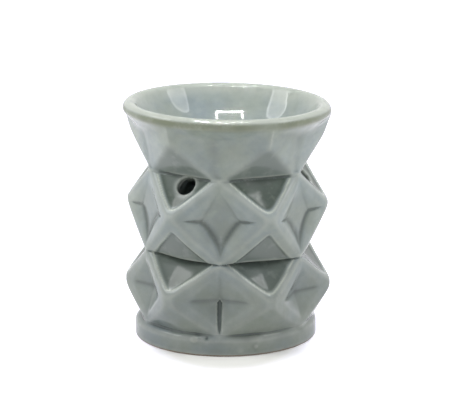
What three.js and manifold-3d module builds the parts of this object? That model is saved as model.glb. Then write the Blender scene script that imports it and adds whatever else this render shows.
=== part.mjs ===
// Faceted ceramic oil burner with its tealight.
// Millimetres, +Z up. The origin is on the axis, at the underside of the foot.
// The doorway faces +Y. Six diamonds go round each tier: their columns stand at 0, 60, 120 ... degrees,
// and the blunt nodes between them at 30, 90, 150 ... degrees.

import * as THREE from 'three';
import { mergeVertices } from 'three/addons/utils/BufferGeometryUtils.js';
import Module from 'manifold-3d';

// Overall height, and the heights of the storeys under the bowl
const HEIGHT = 111.5;
const FOOT_HEIGHT = 9;
const LOWER_TIER_HEIGHT = 34.7;
const UPPER_TIER_HEIGHT = 38.7;

// Facet pattern
const SIDES = 6;
const LOWER_NODE_RADIUS = 48.1;
const LOWER_NODE_RISE = 19;
const LOWER_NODE_HEIGHT = 5;
const UPPER_NODE_RADIUS = 47.1;
const UPPER_NODE_RISE = 21.8;
const UPPER_NODE_HEIGHT = 3;
const NODE_WIDTH = 5;
const NECK_RADIUS = 39.7;
const WAIST_RADIUS = 41.5;
const WAIST_SAG = 2.5;
const BASE_RADIUS = 41.6;
const BASE_SAG = 1;
const DIAMOND_DEPTH = 4.8;
const DIAMOND_BORDER = 3;
const STAR_WIDTH = 17;
const STAR_STEPS = 4;
const POCKET_SHOULDER = 4.4;
const POCKET_TOE = 2.2;
const POCKET_STEP = 1.1;
const POCKET_DEPTH = 2.2;

// Body shell; its wall is thicker across a ridge, where the outside turns sharply
const BODY_WALL = 4.5;
const RIDGE_WALL = 5.6;
const VENT_RADIUS = 4.7;
const VENT_BRIDGE = 0.6;
const VENT_CUT_LENGTH = 27;
const VENT_ANGLES = [-87, 30, 150];
const VENT_STEPS = 32;
const DOOR_ANGLE = 90;
const DOOR_CLEARANCE = 3.5;
const DOOR_HEIGHT = 44;
const DOOR_ARCH_STEPS = 24;

// Bowl
const RIM_RADIUS = 48.4;
const RIM_DROP = 3.9;
const CREST_RADIUS = 45;
const CREST_ROUND = 3.4;
const BRINK_SLOPE = THREE.MathUtils.degToRad(58);
const BOWL_SEAT_SAG = 3.5;
const BOWL_NODE_RADIUS = 47.4;
const BOWL_NODE_DROP = 8;
const BOWL_KNEE_RADIUS = 45.6;
const BOWL_KNEE_DROP = 14.5;
const BOWL_PANEL_RADIUS = 42.6;
const BOWL_PANEL_DROP = 9.3;
const DISH_FLOOR = 5.6;
const DISH_FLOOR_RADIUS = 15;
const DISH_TURN_RADIUS = 28;
const DISH_TURN_RISE = 0.2;
const DISH_SIDE_LENGTH = 11.5;
const DISH_STEPS = 9;
const CREST_STEPS = 3;
const RIM_STEPS_PER_SIDE = 10;

// Foot disc
const FOOT_RADIUS = 42.5;
const FOOT_EDGE = 0.9;
const FOOT_TOP_ROUND = 2;
const FOOT_ROUND_STEPS = 3;
const FOOT_HOLLOW_RADIUS = 34;
const FOOT_HOLLOW_DEPTH = 2.5;
const FOOT_STEPS = 72;

// Tealight
const CUP_RADIUS = 19;
const CUP_HEIGHT = 15.5;
const CUP_WALL = 0.4;
const CUP_LIP = 0.5;
const WAX_HEIGHT = 12.5;
const WICK_RADIUS = 0.8;
const WICK_FREE_LENGTH = 8;
const WICK_STEPS = 16;
const TAB_RADIUS = 6;
const TAB_SHEET = 0.4;
const TAB_COLLAR_HEIGHT = 4;
const TEALIGHT_STEPS = 48;

// Clearance between pieces that do not share a flat face
const FIT_GAP = 0.3;

// How far a cutting body runs past what it cuts
const OVERCUT = 1;

// Corners nearer than this are one corner
const SAME_POINT = 1e-4;

// Levels worked out from the storeys
const BASE_Z = FOOT_HEIGHT;
const WAIST_Z = BASE_Z + LOWER_TIER_HEIGHT;
const NECK_Z = WAIST_Z + UPPER_TIER_HEIGHT;
const RIM_Z = HEIGHT;

const SECTOR = 360 / SIDES;
const HALF_SECTOR = SECTOR / 2;
const MID_EDGE = Math.cos(THREE.MathUtils.degToRad(HALF_SECTOR));

const wasm = await Module();
wasm.setup();

// Points and solids

function polar(radius, degrees, z) {
  const angle = THREE.MathUtils.degToRad(degrees);
  return new THREE.Vector3(radius * Math.cos(angle), radius * Math.sin(angle), z);
}

function sideways(degrees, distance) {
  const angle = THREE.MathUtils.degToRad(degrees);
  return new THREE.Vector3(-distance * Math.sin(angle), distance * Math.cos(angle), 0);
}

// A closed faceted body: faces are named by their corner points, seen counter-clockwise from outside
class FacetedBody {
  constructor() {
    this.corners = [];
  }

  face(...points) {
    for (let i = 1; i < points.length - 1; i += 1) {
      this.corners.push(points[0], points[i], points[i + 1]);
    }
  }

  // Closes an outline with a fan round a middle point; the outline runs counter-clockwise from above
  cap(outline, middle, facesUp) {
    outline.forEach((point, i) => {
      const next = outline[(i + 1) % outline.length];
      if (facesUp) {
        this.face(middle, point, next);
      } else {
        this.face(middle, next, point);
      }
    });
  }

  // Joins two outlines that have as many points as each other
  wall(lower, upper) {
    lower.forEach((point, i) => {
      const j = (i + 1) % lower.length;
      this.face(point, lower[j], upper[j], upper[i]);
    });
  }

  geometry() {
    const geometry = new THREE.BufferGeometry().setFromPoints(this.corners);
    return mergeVertices(geometry, SAME_POINT);
  }
}

function solid(geometry) {
  const bare = geometry.clone();
  bare.deleteAttribute('normal');
  bare.deleteAttribute('uv');
  const merged = mergeVertices(bare, SAME_POINT);
  const mesh = new wasm.Mesh({
    numProp: 3,
    vertProperties: new Float32Array(merged.attributes.position.array),
    triVerts: new Uint32Array(merged.index.array),
  });
  return new wasm.Manifold(mesh);
}

function geometryOf(body) {
  const mesh = body.getMesh();
  const geometry = new THREE.BufferGeometry();
  geometry.setAttribute('position', new THREE.BufferAttribute(new Float32Array(mesh.vertProperties), 3));
  geometry.setIndex(new THREE.BufferAttribute(new Uint32Array(mesh.triVerts), 1));
  return geometry;
}

// A solid of revolution about Z from [radius, height] pairs, outside going up
function turned(profile, steps) {
  const points = profile.map(([radius, z]) => new THREE.Vector2(radius, z));
  return new THREE.LatheGeometry(points, steps).rotateX(Math.PI / 2);
}

// One tier of the pattern

const LOWER_TIER = {
  topZ: WAIST_Z,
  topRadius: WAIST_RADIUS,
  nodeZ: BASE_Z + LOWER_NODE_RISE,
  nodeRadius: LOWER_NODE_RADIUS,
  nodeHeight: LOWER_NODE_HEIGHT,
  bottomZ: BASE_Z,
  bottomRadius: BASE_RADIUS,
  bottomMidRadius: BASE_RADIUS - BASE_SAG,
};

const UPPER_TIER = {
  topZ: NECK_Z,
  topRadius: NECK_RADIUS,
  nodeZ: WAIST_Z + UPPER_NODE_RISE,
  nodeRadius: UPPER_NODE_RADIUS,
  nodeHeight: UPPER_NODE_HEIGHT,
  bottomZ: WAIST_Z,
  bottomRadius: WAIST_RADIUS,
  bottomMidRadius: WAIST_RADIUS - WAIST_SAG,
  hasStars: true,
};

function valleyRadius(tier) {
  return tier.topRadius * MID_EDGE - POCKET_DEPTH;
}

function diamondCentreRadius(tier) {
  return tier.nodeRadius * MID_EDGE - DIAMOND_DEPTH;
}

function diamondCentreZ(tier) {
  return (tier.topZ + tier.bottomZ) / 2;
}

// The blunt node after diamond k is a small flat: its near and far edge, each as [top, bottom]
function nodeEdges(tier, k) {
  const degrees = k * SECTOR + HALF_SECTOR;
  const middle = polar(tier.nodeRadius, degrees, tier.nodeZ);
  return [-1, 1].map((side) => {
    const top = middle.clone().add(sideways(degrees, side * NODE_WIDTH / 2));
    const bottom = top.clone().setZ(tier.nodeZ - tier.nodeHeight);
    return [top, bottom];
  });
}

// The corners of the pocket above node k: left, valley, right and toe
function pocketCorners(tier, k) {
  const degrees = k * SECTOR + HALF_SECTOR;
  const left = polar(tier.topRadius, k * SECTOR, tier.topZ);
  const right = polar(tier.topRadius, (k + 1) * SECTOR, tier.topZ);
  const edge = right.clone().sub(left).normalize();
  const inward = polar(-1, degrees, 0);
  const valley = polar(valleyRadius(tier), degrees, tier.topZ);
  const node = polar(tier.nodeRadius, degrees, tier.nodeZ);
  const upSlope = polar(tier.topRadius * MID_EDGE, degrees, tier.topZ).sub(node).normalize();
  return {
    left: left.clone().addScaledVector(edge, POCKET_SHOULDER).addScaledVector(inward, POCKET_STEP),
    valley,
    right: right.clone().addScaledVector(edge, -POCKET_SHOULDER).addScaledVector(inward, POCKET_STEP),
    toe: node.clone().addScaledVector(upSlope, POCKET_TOE).addScaledVector(inward, POCKET_STEP),
  };
}

// Clay left standing in the middle of a diamond's pit: flat from the top corner down to a shoulder on each
// side, then narrowing in a curve to the bottom corner
function addStar(body, [top, left, bottom, right], centre, degrees) {
  const outward = polar(1, degrees, 0);
  const share = STAR_WIDTH / left.distanceTo(right);
  const [leftEdge, rightEdge] = [[left, right], [right, left]].map(([side, other]) => {
    const shoulder = centre.clone().lerp(side, share);
    const pit = new THREE.Plane().setFromCoplanarPoints(centre, bottom, side);
    const across = side.clone().sub(other);
    const edge = [shoulder];
    for (let step = 1; step < STAR_STEPS; step += 1) {
      const fall = step / STAR_STEPS;
      const radius = THREE.MathUtils.lerp(shoulder.dot(outward), bottom.dot(outward), fall ** 2);
      const onColumn = polar(radius, degrees, THREE.MathUtils.lerp(shoulder.z, bottom.z, fall));
      const line = new THREE.Line3(onColumn, onColumn.clone().add(across));
      edge.push(pit.intersectLine(line, new THREE.Vector3()));
    }
    return [...edge, bottom];
  });
  body.face(top, leftEdge[0], rightEdge[0]);
  body.face(top, left, leftEdge[0]);
  body.face(top, rightEdge[0], right);
  for (let i = 0; i < STAR_STEPS; i += 1) {
    body.face(left, leftEdge[i + 1], leftEdge[i]);
    body.face(right, rightEdge[i], rightEdge[i + 1]);
    body.face(leftEdge[i], leftEdge[i + 1], rightEdge[i]);
    if (i < STAR_STEPS - 1) {
      body.face(leftEdge[i + 1], rightEdge[i + 1], rightEdge[i]);
    }
  }
}

function addDiamond(body, tier, k) {
  const degrees = k * SECTOR;
  const top = polar(tier.topRadius, degrees, tier.topZ);
  const bottom = polar(tier.bottomRadius, degrees, tier.bottomZ);
  const [leftHigh, leftLow] = nodeEdges(tier, k - 1)[1];
  const [rightHigh, rightLow] = nodeEdges(tier, k)[0];
  const left = leftHigh.clone().lerp(leftLow, 0.5);
  const right = rightHigh.clone().lerp(rightLow, 0.5);
  const middle = polar(tier.nodeRadius * MID_EDGE, degrees, diamondCentreZ(tier));
  const halfWidth = tier.nodeRadius * Math.sin(THREE.MathUtils.degToRad(HALF_SECTOR));
  const halfHeight = (tier.topZ - tier.bottomZ) / 2;
  const reach = halfWidth * halfHeight / Math.hypot(halfWidth, halfHeight);
  const inner = [top, left, bottom, right].map((corner) => (
    corner.clone().lerp(middle, DIAMOND_BORDER / reach)
  ));
  const centre = polar(diamondCentreRadius(tier), degrees, diamondCentreZ(tier));
  if (tier.hasStars) {
    addStar(body, inner, centre, degrees);
  } else {
    inner.forEach((corner, i) => body.face(corner, inner[(i + 1) % inner.length], centre));
  }
  body.face(top, leftHigh, inner[1], inner[0]);
  body.face(leftHigh, leftLow, inner[1]);
  body.face(leftLow, bottom, inner[2], inner[1]);
  body.face(bottom, rightLow, inner[3], inner[2]);
  body.face(rightLow, rightHigh, inner[3]);
  body.face(rightHigh, top, inner[0], inner[3]);
}

function addPocket(body, tier, k) {
  const [[nearHigh, nearLow], [farHigh, farLow]] = nodeEdges(tier, k);
  const { left, valley, right, toe } = pocketCorners(tier, k);
  body.face(polar(tier.topRadius, k * SECTOR, tier.topZ), nearHigh, toe, left);
  body.face(polar(tier.topRadius, (k + 1) * SECTOR, tier.topZ), right, toe, farHigh);
  body.face(nearHigh, farHigh, toe);
  body.face(nearHigh, nearLow, farLow, farHigh);
  body.face(left, toe, valley);
  body.face(valley, toe, right);
}

function addUnderside(body, tier, k) {
  const [nearLow, farLow] = nodeEdges(tier, k).map(([, bottom]) => bottom);
  const middle = polar(tier.bottomMidRadius, k * SECTOR + HALF_SECTOR, tier.bottomZ);
  body.face(nearLow, polar(tier.bottomRadius, k * SECTOR, tier.bottomZ), middle);
  body.face(nearLow, middle, farLow);
  body.face(farLow, middle, polar(tier.bottomRadius, (k + 1) * SECTOR, tier.bottomZ));
}

function forEachSide(work) {
  for (let k = 0; k < SIDES; k += 1) {
    work(k);
  }
}

function topOutline(tier) {
  const outline = [];
  forEachSide((k) => {
    const { left, valley, right } = pocketCorners(tier, k);
    outline.push(polar(tier.topRadius, k * SECTOR, tier.topZ), left, valley, right);
  });
  return outline;
}

// An outline with a corner at each diamond column and a point at each node column
function starOutline(cornerRadius, midRadius, z) {
  const outline = [];
  forEachSide((k) => {
    outline.push(polar(cornerRadius, k * SECTOR, z));
    outline.push(polar(midRadius, k * SECTOR + HALF_SECTOR, z));
  });
  return outline;
}

// Body shell

function bodyOutside() {
  const body = new FacetedBody();
  [LOWER_TIER, UPPER_TIER].forEach((tier) => {
    forEachSide((k) => {
      addDiamond(body, tier, k);
      addPocket(body, tier, k);
      addUnderside(body, tier, k);
    });
  });
  forEachSide((k) => {
    const { left, valley, right } = pocketCorners(LOWER_TIER, k);
    const ledge = polar(UPPER_TIER.bottomMidRadius, k * SECTOR + HALF_SECTOR, WAIST_Z);
    body.face(polar(WAIST_RADIUS, k * SECTOR, WAIST_Z), left, ledge);
    body.face(left, valley, ledge);
    body.face(valley, right, ledge);
    body.face(right, polar(WAIST_RADIUS, (k + 1) * SECTOR, WAIST_Z), ledge);
  });
  body.cap(topOutline(UPPER_TIER), new THREE.Vector3(0, 0, NECK_Z), true);
  const bottom = starOutline(BASE_RADIUS, LOWER_TIER.bottomMidRadius, BASE_Z);
  body.cap(bottom, new THREE.Vector3(0, 0, BASE_Z), false);
  return solid(body.geometry());
}

// The chamber's faces turn on the row of nodes, as the diamonds outside do
function bodyInside() {
  const base = [BASE_RADIUS - RIDGE_WALL, LOWER_TIER.bottomMidRadius - RIDGE_WALL];
  const waist = [WAIST_RADIUS - RIDGE_WALL, valleyRadius(LOWER_TIER) - BODY_WALL];
  const neck = [NECK_RADIUS - RIDGE_WALL, valleyRadius(UPPER_TIER) - BODY_WALL];
  const middles = [LOWER_TIER, UPPER_TIER].map((tier) => [
    diamondCentreRadius(tier) - BODY_WALL,
    tier.nodeRadius - RIDGE_WALL,
  ]);
  const rows = [
    [...base, BASE_Z - OVERCUT],
    [...base, BASE_Z],
    [...middles[0], LOWER_TIER.nodeZ],
    [...waist, WAIST_Z],
    [...waist, WAIST_Z + BODY_WALL],
    [...middles[1], UPPER_TIER.nodeZ],
    [...neck, NECK_Z],
    [...neck, NECK_Z + OVERCUT],
  ].map((row) => starOutline(...row));
  const nodeLevels = [LOWER_TIER.nodeZ, UPPER_TIER.nodeZ];
  const body = new FacetedBody();
  rows.slice(1).forEach((upper, i) => {
    const lower = rows[i];
    lower.forEach((point, p) => {
      const q = (p + 1) % lower.length;
      const nodeIsLow = nodeLevels.includes(point.z);
      const cornerFirst = p % 2 === 0;
      if (nodeIsLow === cornerFirst) {
        body.face(lower[q], upper[q], upper[p], point);
      } else {
        body.face(point, lower[q], upper[q], upper[p]);
      }
    });
  });
  body.cap(rows[0], new THREE.Vector3(0, 0, BASE_Z - OVERCUT), false);
  body.cap(rows.at(-1), new THREE.Vector3(0, 0, NECK_Z + OVERCUT), true);
  return solid(body.geometry());
}

// A vent is bored square to the slope of its pocket, just under the neck
function ventCutter(degrees) {
  const neck = new THREE.Vector2(valleyRadius(UPPER_TIER), NECK_Z);
  const slope = new THREE.Vector2(UPPER_NODE_RADIUS, UPPER_TIER.nodeZ).sub(neck).normalize();
  const mouth = neck.clone().addScaledVector(slope, VENT_BRIDGE + VENT_RADIUS);
  const cutter = new THREE.CylinderGeometry(VENT_RADIUS, VENT_RADIUS, VENT_CUT_LENGTH, VENT_STEPS);
  cutter.rotateZ(slope.angle());
  cutter.rotateX(Math.PI / 2);
  cutter.translate(mouth.x, 0, mouth.y);
  cutter.rotateZ(THREE.MathUtils.degToRad(degrees));
  return solid(cutter);
}

const DOOR_HALF_WIDTH = CUP_RADIUS + CUP_LIP + DOOR_CLEARANCE;

// An arch that runs out from the middle of the chamber through the wall
function doorCutter() {
  const springZ = DOOR_HEIGHT - DOOR_HALF_WIDTH;
  const arch = new THREE.Shape();
  arch.moveTo(-DOOR_HALF_WIDTH, -OVERCUT);
  arch.lineTo(DOOR_HALF_WIDTH, -OVERCUT);
  arch.lineTo(DOOR_HALF_WIDTH, springZ);
  arch.absarc(0, springZ, DOOR_HALF_WIDTH, 0, Math.PI, false);
  arch.closePath();
  const depth = LOWER_NODE_RADIUS + OVERCUT;
  const settings = { depth, bevelEnabled: false, curveSegments: DOOR_ARCH_STEPS };
  const cutter = new THREE.ExtrudeGeometry(arch, settings);
  cutter.rotateX(Math.PI / 2);
  cutter.rotateZ(Math.PI);
  cutter.translate(0, 0, BASE_Z);
  cutter.rotateZ(THREE.MathUtils.degToRad(DOOR_ANGLE - 90));
  return solid(cutter);
}

function bodyShellGeometry() {
  let shell = bodyOutside().subtract(bodyInside()).subtract(doorCutter());
  VENT_ANGLES.forEach((degrees) => {
    shell = shell.subtract(ventCutter(degrees));
  });
  return geometryOf(shell);
}

// Bowl

// The dish inside, from the slope under the rim's crest inwards: a curved side and a shallow round floor
function dishProfile() {
  const brink = new THREE.Vector2(
    CREST_RADIUS - CREST_ROUND * Math.sin(BRINK_SLOPE),
    RIM_Z - CREST_ROUND * (1 - Math.cos(BRINK_SLOPE)),
  );
  const downSlope = new THREE.Vector2(-Math.cos(BRINK_SLOPE), -Math.sin(BRINK_SLOPE));
  const floorZ = NECK_Z + DISH_FLOOR;
  const curve = new THREE.CubicBezierCurve(
    brink,
    brink.clone().addScaledVector(downSlope, DISH_SIDE_LENGTH),
    new THREE.Vector2(DISH_TURN_RADIUS, floorZ + DISH_TURN_RISE),
    new THREE.Vector2(DISH_FLOOR_RADIUS, floorZ),
  );
  return curve.getPoints(DISH_STEPS);
}

// The rim's rounded crest, from its outer edge up to the crest and over to the dish's slope
function rimProfile() {
  const outside = new THREE.EllipseCurve(
    CREST_RADIUS, RIM_Z - RIM_DROP, RIM_RADIUS - CREST_RADIUS, RIM_DROP, 0, Math.PI / 2,
  );
  const inside = new THREE.EllipseCurve(
    CREST_RADIUS, RIM_Z - CREST_ROUND, CREST_ROUND, CREST_ROUND, Math.PI / 2, Math.PI / 2 + BRINK_SLOPE,
  );
  return [...outside.getPoints(CREST_STEPS).slice(1), ...inside.getPoints(CREST_STEPS).slice(1, -1)];
}

function circle(radius, z) {
  const count = SIDES * RIM_STEPS_PER_SIDE;
  return Array.from({ length: count }, (_, i) => polar(radius, i * 360 / count, z));
}

function bowlGeometry() {
  const body = new FacetedBody();
  const seat = starOutline(NECK_RADIUS, NECK_RADIUS - BOWL_SEAT_SAG, NECK_Z);
  const brow = circle(RIM_RADIUS, RIM_Z - RIM_DROP);
  body.cap(seat, new THREE.Vector3(0, 0, NECK_Z), false);
  forEachSide((k) => {
    const degrees = k * SECTOR;
    const corner = polar(NECK_RADIUS, degrees, NECK_Z);
    const panel = polar(BOWL_PANEL_RADIUS, degrees, RIM_Z - BOWL_PANEL_DROP);
    [-1, 1].forEach((side) => {
      const column = degrees + side * HALF_SECTOR;
      const node = polar(BOWL_NODE_RADIUS, column, RIM_Z - BOWL_NODE_DROP);
      const knee = polar(BOWL_KNEE_RADIUS, column, RIM_Z - BOWL_KNEE_DROP);
      const seatMid = polar(NECK_RADIUS - BOWL_SEAT_SAG, column, NECK_Z);
      const steps = RIM_STEPS_PER_SIDE / 2;
      const arc = Array.from({ length: steps + 1 }, (_, i) => (
        brow[(k * RIM_STEPS_PER_SIDE + side * i + brow.length) % brow.length]
      ));
      const fan = [
        [corner, seatMid, knee],
        [corner, knee, node],
        [corner, node, panel],
        [panel, node, arc[steps]],
      ];
      for (let i = 0; i < steps; i += 1) {
        fan.push([panel, arc[i + 1], arc[i]]);
      }
      fan.forEach((points) => body.face(...(side > 0 ? points : points.reverse())));
    });
  });
  const rows = [brow, ...[...rimProfile(), ...dishProfile()].map(({ x, y }) => circle(x, y))];
  rows.slice(1).forEach((row, i) => body.wall(rows[i], row));
  body.cap(rows.at(-1), new THREE.Vector3(0, 0, NECK_Z + DISH_FLOOR), true);
  return body.geometry();
}

// Foot disc

function footGeometry() {
  const inner = FOOT_RADIUS - FOOT_TOP_ROUND;
  const topRound = new THREE.EllipseCurve(
    inner, FOOT_HEIGHT - FOOT_TOP_ROUND, FOOT_TOP_ROUND, FOOT_TOP_ROUND, 0, Math.PI / 2,
  );
  return turned([
    [0, FOOT_HOLLOW_DEPTH],
    [FOOT_HOLLOW_RADIUS, FOOT_HOLLOW_DEPTH],
    [FOOT_HOLLOW_RADIUS + FOOT_HOLLOW_DEPTH / 2, 0],
    [FOOT_RADIUS - FOOT_EDGE, 0],
    [FOOT_RADIUS, FOOT_EDGE],
    ...topRound.getPoints(FOOT_ROUND_STEPS).map(({ x, y }) => [x, y]),
    [0, FOOT_HEIGHT],
  ], FOOT_STEPS);
}

// Tealight, modelled with its own underside at height 0

const TAB_Z = CUP_WALL + FIT_GAP;
const COLLAR_BORE = WICK_RADIUS + FIT_GAP;
const COLLAR_RADIUS = COLLAR_BORE + TAB_SHEET;
const WAX_BOTTOM = CUP_WALL + FIT_GAP;

function cupGeometry() {
  return turned([
    [0, 0],
    [CUP_RADIUS, 0],
    [CUP_RADIUS, CUP_HEIGHT - CUP_LIP],
    [CUP_RADIUS + CUP_LIP, CUP_HEIGHT],
    [CUP_RADIUS - CUP_WALL, CUP_HEIGHT],
    [CUP_RADIUS - CUP_WALL, CUP_WALL],
    [0, CUP_WALL],
  ], TEALIGHT_STEPS);
}

// The wax stands clear of the cup, and is hollow where the tab and the wick go
function waxGeometry() {
  const radius = CUP_RADIUS - CUP_WALL - FIT_GAP;
  const tabRoof = TAB_Z + TAB_SHEET + FIT_GAP;
  const collarRoof = TAB_Z + TAB_COLLAR_HEIGHT + FIT_GAP;
  const top = WAX_BOTTOM + WAX_HEIGHT;
  return turned([
    [TAB_RADIUS + FIT_GAP, WAX_BOTTOM],
    [radius, WAX_BOTTOM],
    [radius, top],
    [COLLAR_BORE, top],
    [COLLAR_BORE, collarRoof],
    [COLLAR_RADIUS + FIT_GAP, collarRoof],
    [COLLAR_RADIUS + FIT_GAP, tabRoof],
    [TAB_RADIUS + FIT_GAP, tabRoof],
    [TAB_RADIUS + FIT_GAP, WAX_BOTTOM],
  ], TEALIGHT_STEPS);
}

function wickGeometry() {
  const length = WAX_HEIGHT + WICK_FREE_LENGTH;
  const wick = new THREE.CylinderGeometry(WICK_RADIUS, WICK_RADIUS, length, WICK_STEPS);
  return wick.rotateX(Math.PI / 2).translate(0, 0, TAB_Z + length / 2);
}

function sustainerGeometry() {
  return turned([
    [COLLAR_BORE, TAB_Z],
    [TAB_RADIUS, TAB_Z],
    [TAB_RADIUS, TAB_Z + TAB_SHEET],
    [COLLAR_RADIUS, TAB_Z + TAB_SHEET],
    [COLLAR_RADIUS, TAB_Z + TAB_COLLAR_HEIGHT],
    [COLLAR_BORE, TAB_Z + TAB_COLLAR_HEIGHT],
    [COLLAR_BORE, TAB_Z],
  ], TEALIGHT_STEPS);
}

// Finishes

const glaze = { color: new THREE.Color(0.36, 0.41, 0.39), roughness: 0.15, metalness: 0 };
const aluminium = { color: new THREE.Color(0.8, 0.8, 0.8), roughness: 0.35, metalness: 1 };
const paraffin = { color: new THREE.Color(0.9, 0.89, 0.85), roughness: 0.45, metalness: 0 };
const cotton = { color: new THREE.Color(0.85, 0.82, 0.75), roughness: 0.9, metalness: 0 };
const tinplate = { color: new THREE.Color(0.7, 0.7, 0.7), roughness: 0.4, metalness: 1 };

function piece(name, geometry, finish) {
  geometry.computeVertexNormals();
  const mesh = new THREE.Mesh(geometry, new THREE.MeshStandardMaterial(finish));
  mesh.name = name;
  return mesh;
}

// Assembly

const burner = new THREE.Group();
burner.add(piece('foot_disc', footGeometry(), glaze));
burner.add(piece('body_shell', bodyShellGeometry(), glaze));
burner.add(piece('bowl', bowlGeometry(), glaze));

const tealight = new THREE.Group();
tealight.position.z = BASE_Z + FIT_GAP;
tealight.add(piece('tealight_cup', cupGeometry(), aluminium));
tealight.add(piece('tealight_wax', waxGeometry(), paraffin));
tealight.add(piece('tealight_wick', wickGeometry(), cotton));
tealight.add(piece('wick_sustainer', sustainerGeometry(), tinplate));
burner.add(tealight);

export default burner;
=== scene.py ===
import math

import bpy
import numpy as np
from mathutils import Matrix, Vector


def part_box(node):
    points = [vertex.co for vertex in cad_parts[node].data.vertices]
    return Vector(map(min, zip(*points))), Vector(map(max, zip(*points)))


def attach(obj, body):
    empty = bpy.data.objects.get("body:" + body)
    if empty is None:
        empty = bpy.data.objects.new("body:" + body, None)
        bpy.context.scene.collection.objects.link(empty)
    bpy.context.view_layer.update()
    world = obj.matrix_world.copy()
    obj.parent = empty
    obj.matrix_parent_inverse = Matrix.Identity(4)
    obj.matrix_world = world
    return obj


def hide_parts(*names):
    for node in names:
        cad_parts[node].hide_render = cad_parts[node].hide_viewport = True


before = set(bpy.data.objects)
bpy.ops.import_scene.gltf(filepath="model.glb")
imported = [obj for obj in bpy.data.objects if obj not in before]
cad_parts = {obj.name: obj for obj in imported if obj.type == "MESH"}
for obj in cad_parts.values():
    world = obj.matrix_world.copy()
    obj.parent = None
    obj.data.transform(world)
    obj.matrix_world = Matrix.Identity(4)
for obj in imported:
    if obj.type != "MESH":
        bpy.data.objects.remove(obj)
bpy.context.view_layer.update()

MM = 0.001

# Levels and outer sizes, from the frame
BASE_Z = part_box("foot_disc")[1].z / MM
NECK_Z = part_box("bowl")[0].z / MM
RIM_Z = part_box("bowl")[1].z / MM
RIM_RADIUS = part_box("bowl")[1].x / MM
FOOT_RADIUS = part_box("foot_disc")[1].x / MM

# Facet pattern
WAIST_Z = BASE_Z + 34.7
NODE_WIDTH = 5.0
DIAMOND_BORDER = 3.0
DIAMOND_DEPTH = 4.8
STAR_WIDTH = 17.0
POCKET_SHOULDER = 4.4
POCKET_TOE = 2.4
POCKET_STEP = 0.8
POCKET_DEPTH = 2.2
POCKET_VALLEY = 1.2
POCKET_BULGE = 0.7
POCKET_ROUND = 1.7
POCKET_ROUND_INSET = 0.5
POCKET_WALL_SLOPE = 0.7
HOLLOW_STEP = 0.7
HOLLOW_SHOULDER = 5.8
HOLLOW_TOE = 5.2
GROOVE_ANGLE = math.radians(-60)
GROOVE_HALF_WIDTH = 0.95
GROOVE_DEPTH = 0.8
GROOVE_TAPER = 1.2
GROOVE_RAISED = 9.0
STAR_EDGE_DEPTH = 0.25
STAR_FLATNESS = 0.98
UPPER_TIER = {
    "top_z": NECK_Z, "top_radius": 39.7,
    "node_z": WAIST_Z + 21.8, "node_radius": 47.1, "node_height": 3.0,
    "bottom_z": WAIST_Z, "bottom_radius": 41.5, "bottom_mid_radius": 39.0,
}
LOWER_TIER = {
    "top_z": WAIST_Z, "top_radius": 41.5,
    "node_z": BASE_Z + 19.0, "node_radius": 48.1, "node_height": 5.0,
    "bottom_z": BASE_Z, "bottom_radius": 41.6, "bottom_mid_radius": 40.6,
}

# Unevenness of the hand-finished clay: a turn in radians, a shift in height, and waves of the surface
UNEVEN_TURN = 0.011
UNEVEN_LIFT = 0.4
WAVE_SIZE = 0.08

# How softly the faces of the pattern meet
FLAT_SOFTNESS = 0.3
RIDGE_SOFTNESS = 0.36
PIT_SOFTNESS = 0.4
STAR_SOFTNESS = 0.15
HOLLOW_EDGE_SOFTNESS = 0.7
HOLLOW_SOFTNESS = 0.5
TIER_SOFTNESS = 0.25
WAIST_SOFTNESS = 0.35
SEAM_SOFTNESS = 0.2
WALL_SOFTNESS = 0.5
DOOR_SOFTNESS = 0.6
VENT_SOFTNESS = 0.35
PANEL_SOFTNESS = 1.6
CHEEK_SOFTNESS = 0.5
FACET_SOFTNESS = 0.4
BROW_SOFTNESS = 1.1
RIM_SOFTNESS = 0.35

# Openings in the body
BODY_WALL = 4.5
RIDGE_WALL = 5.6
VENT_RADIUS = 4.7
VENT_BRIDGE = 0.6
VENT_HALF_LENGTH = 3 * BODY_WALL
VENT_ANGLES = (-87, 30, 150)
DOOR_HALF_WIDTH = 23.0
DOOR_HEIGHT = 44.0

# Bowl
RIM_DROP = 3.9
RIM_SKIRT_Z = NECK_Z - 8
CREST_RADIUS = 45.0
CREST_ROUND = 3.4
BRINK_SLOPE = math.radians(58)
SEAT_RADIUS = 39.7
SEAT_SAG = 3.5
BOWL_NODE = (47.4, RIM_Z - 8.0)
BOWL_KNEE = (45.6, RIM_Z - 14.5)
BOWL_PANEL = (42.6, RIM_Z - 9.3)
BROW_SLOPE = (RIM_Z - RIM_DROP - BOWL_PANEL[1]) / (RIM_RADIUS - BOWL_PANEL[0])
DISH_FLOOR = 5.6
DISH_FLOOR_RADIUS = 15.0
DISH_TURN_RADIUS = 28.0
DISH_TURN_RISE = 0.2
DISH_SIDE_LENGTH = 11.5
DISH_SIDE_STEPS = 140
VALLEY_HALF_WIDTH = 2.8
VALLEY_DEPTH = 0.3
VALLEY_SHIFT = 2.0

# Foot
FOOT_TOP_ROUND = 2.6
FOOT_BOTTOM_ROUND = 0.9
FOOT_HOLLOW_RADIUS = 34.0
FOOT_HOLLOW_DEPTH = 2.5
FOOT_SHIFT = 1.0

# Slip in the corners where the foot and the bowl meet the body
SLIP_SOFTNESS = 0.8
SLIP_SINK = 0.15
SLIP_REACH = 4.5

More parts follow.
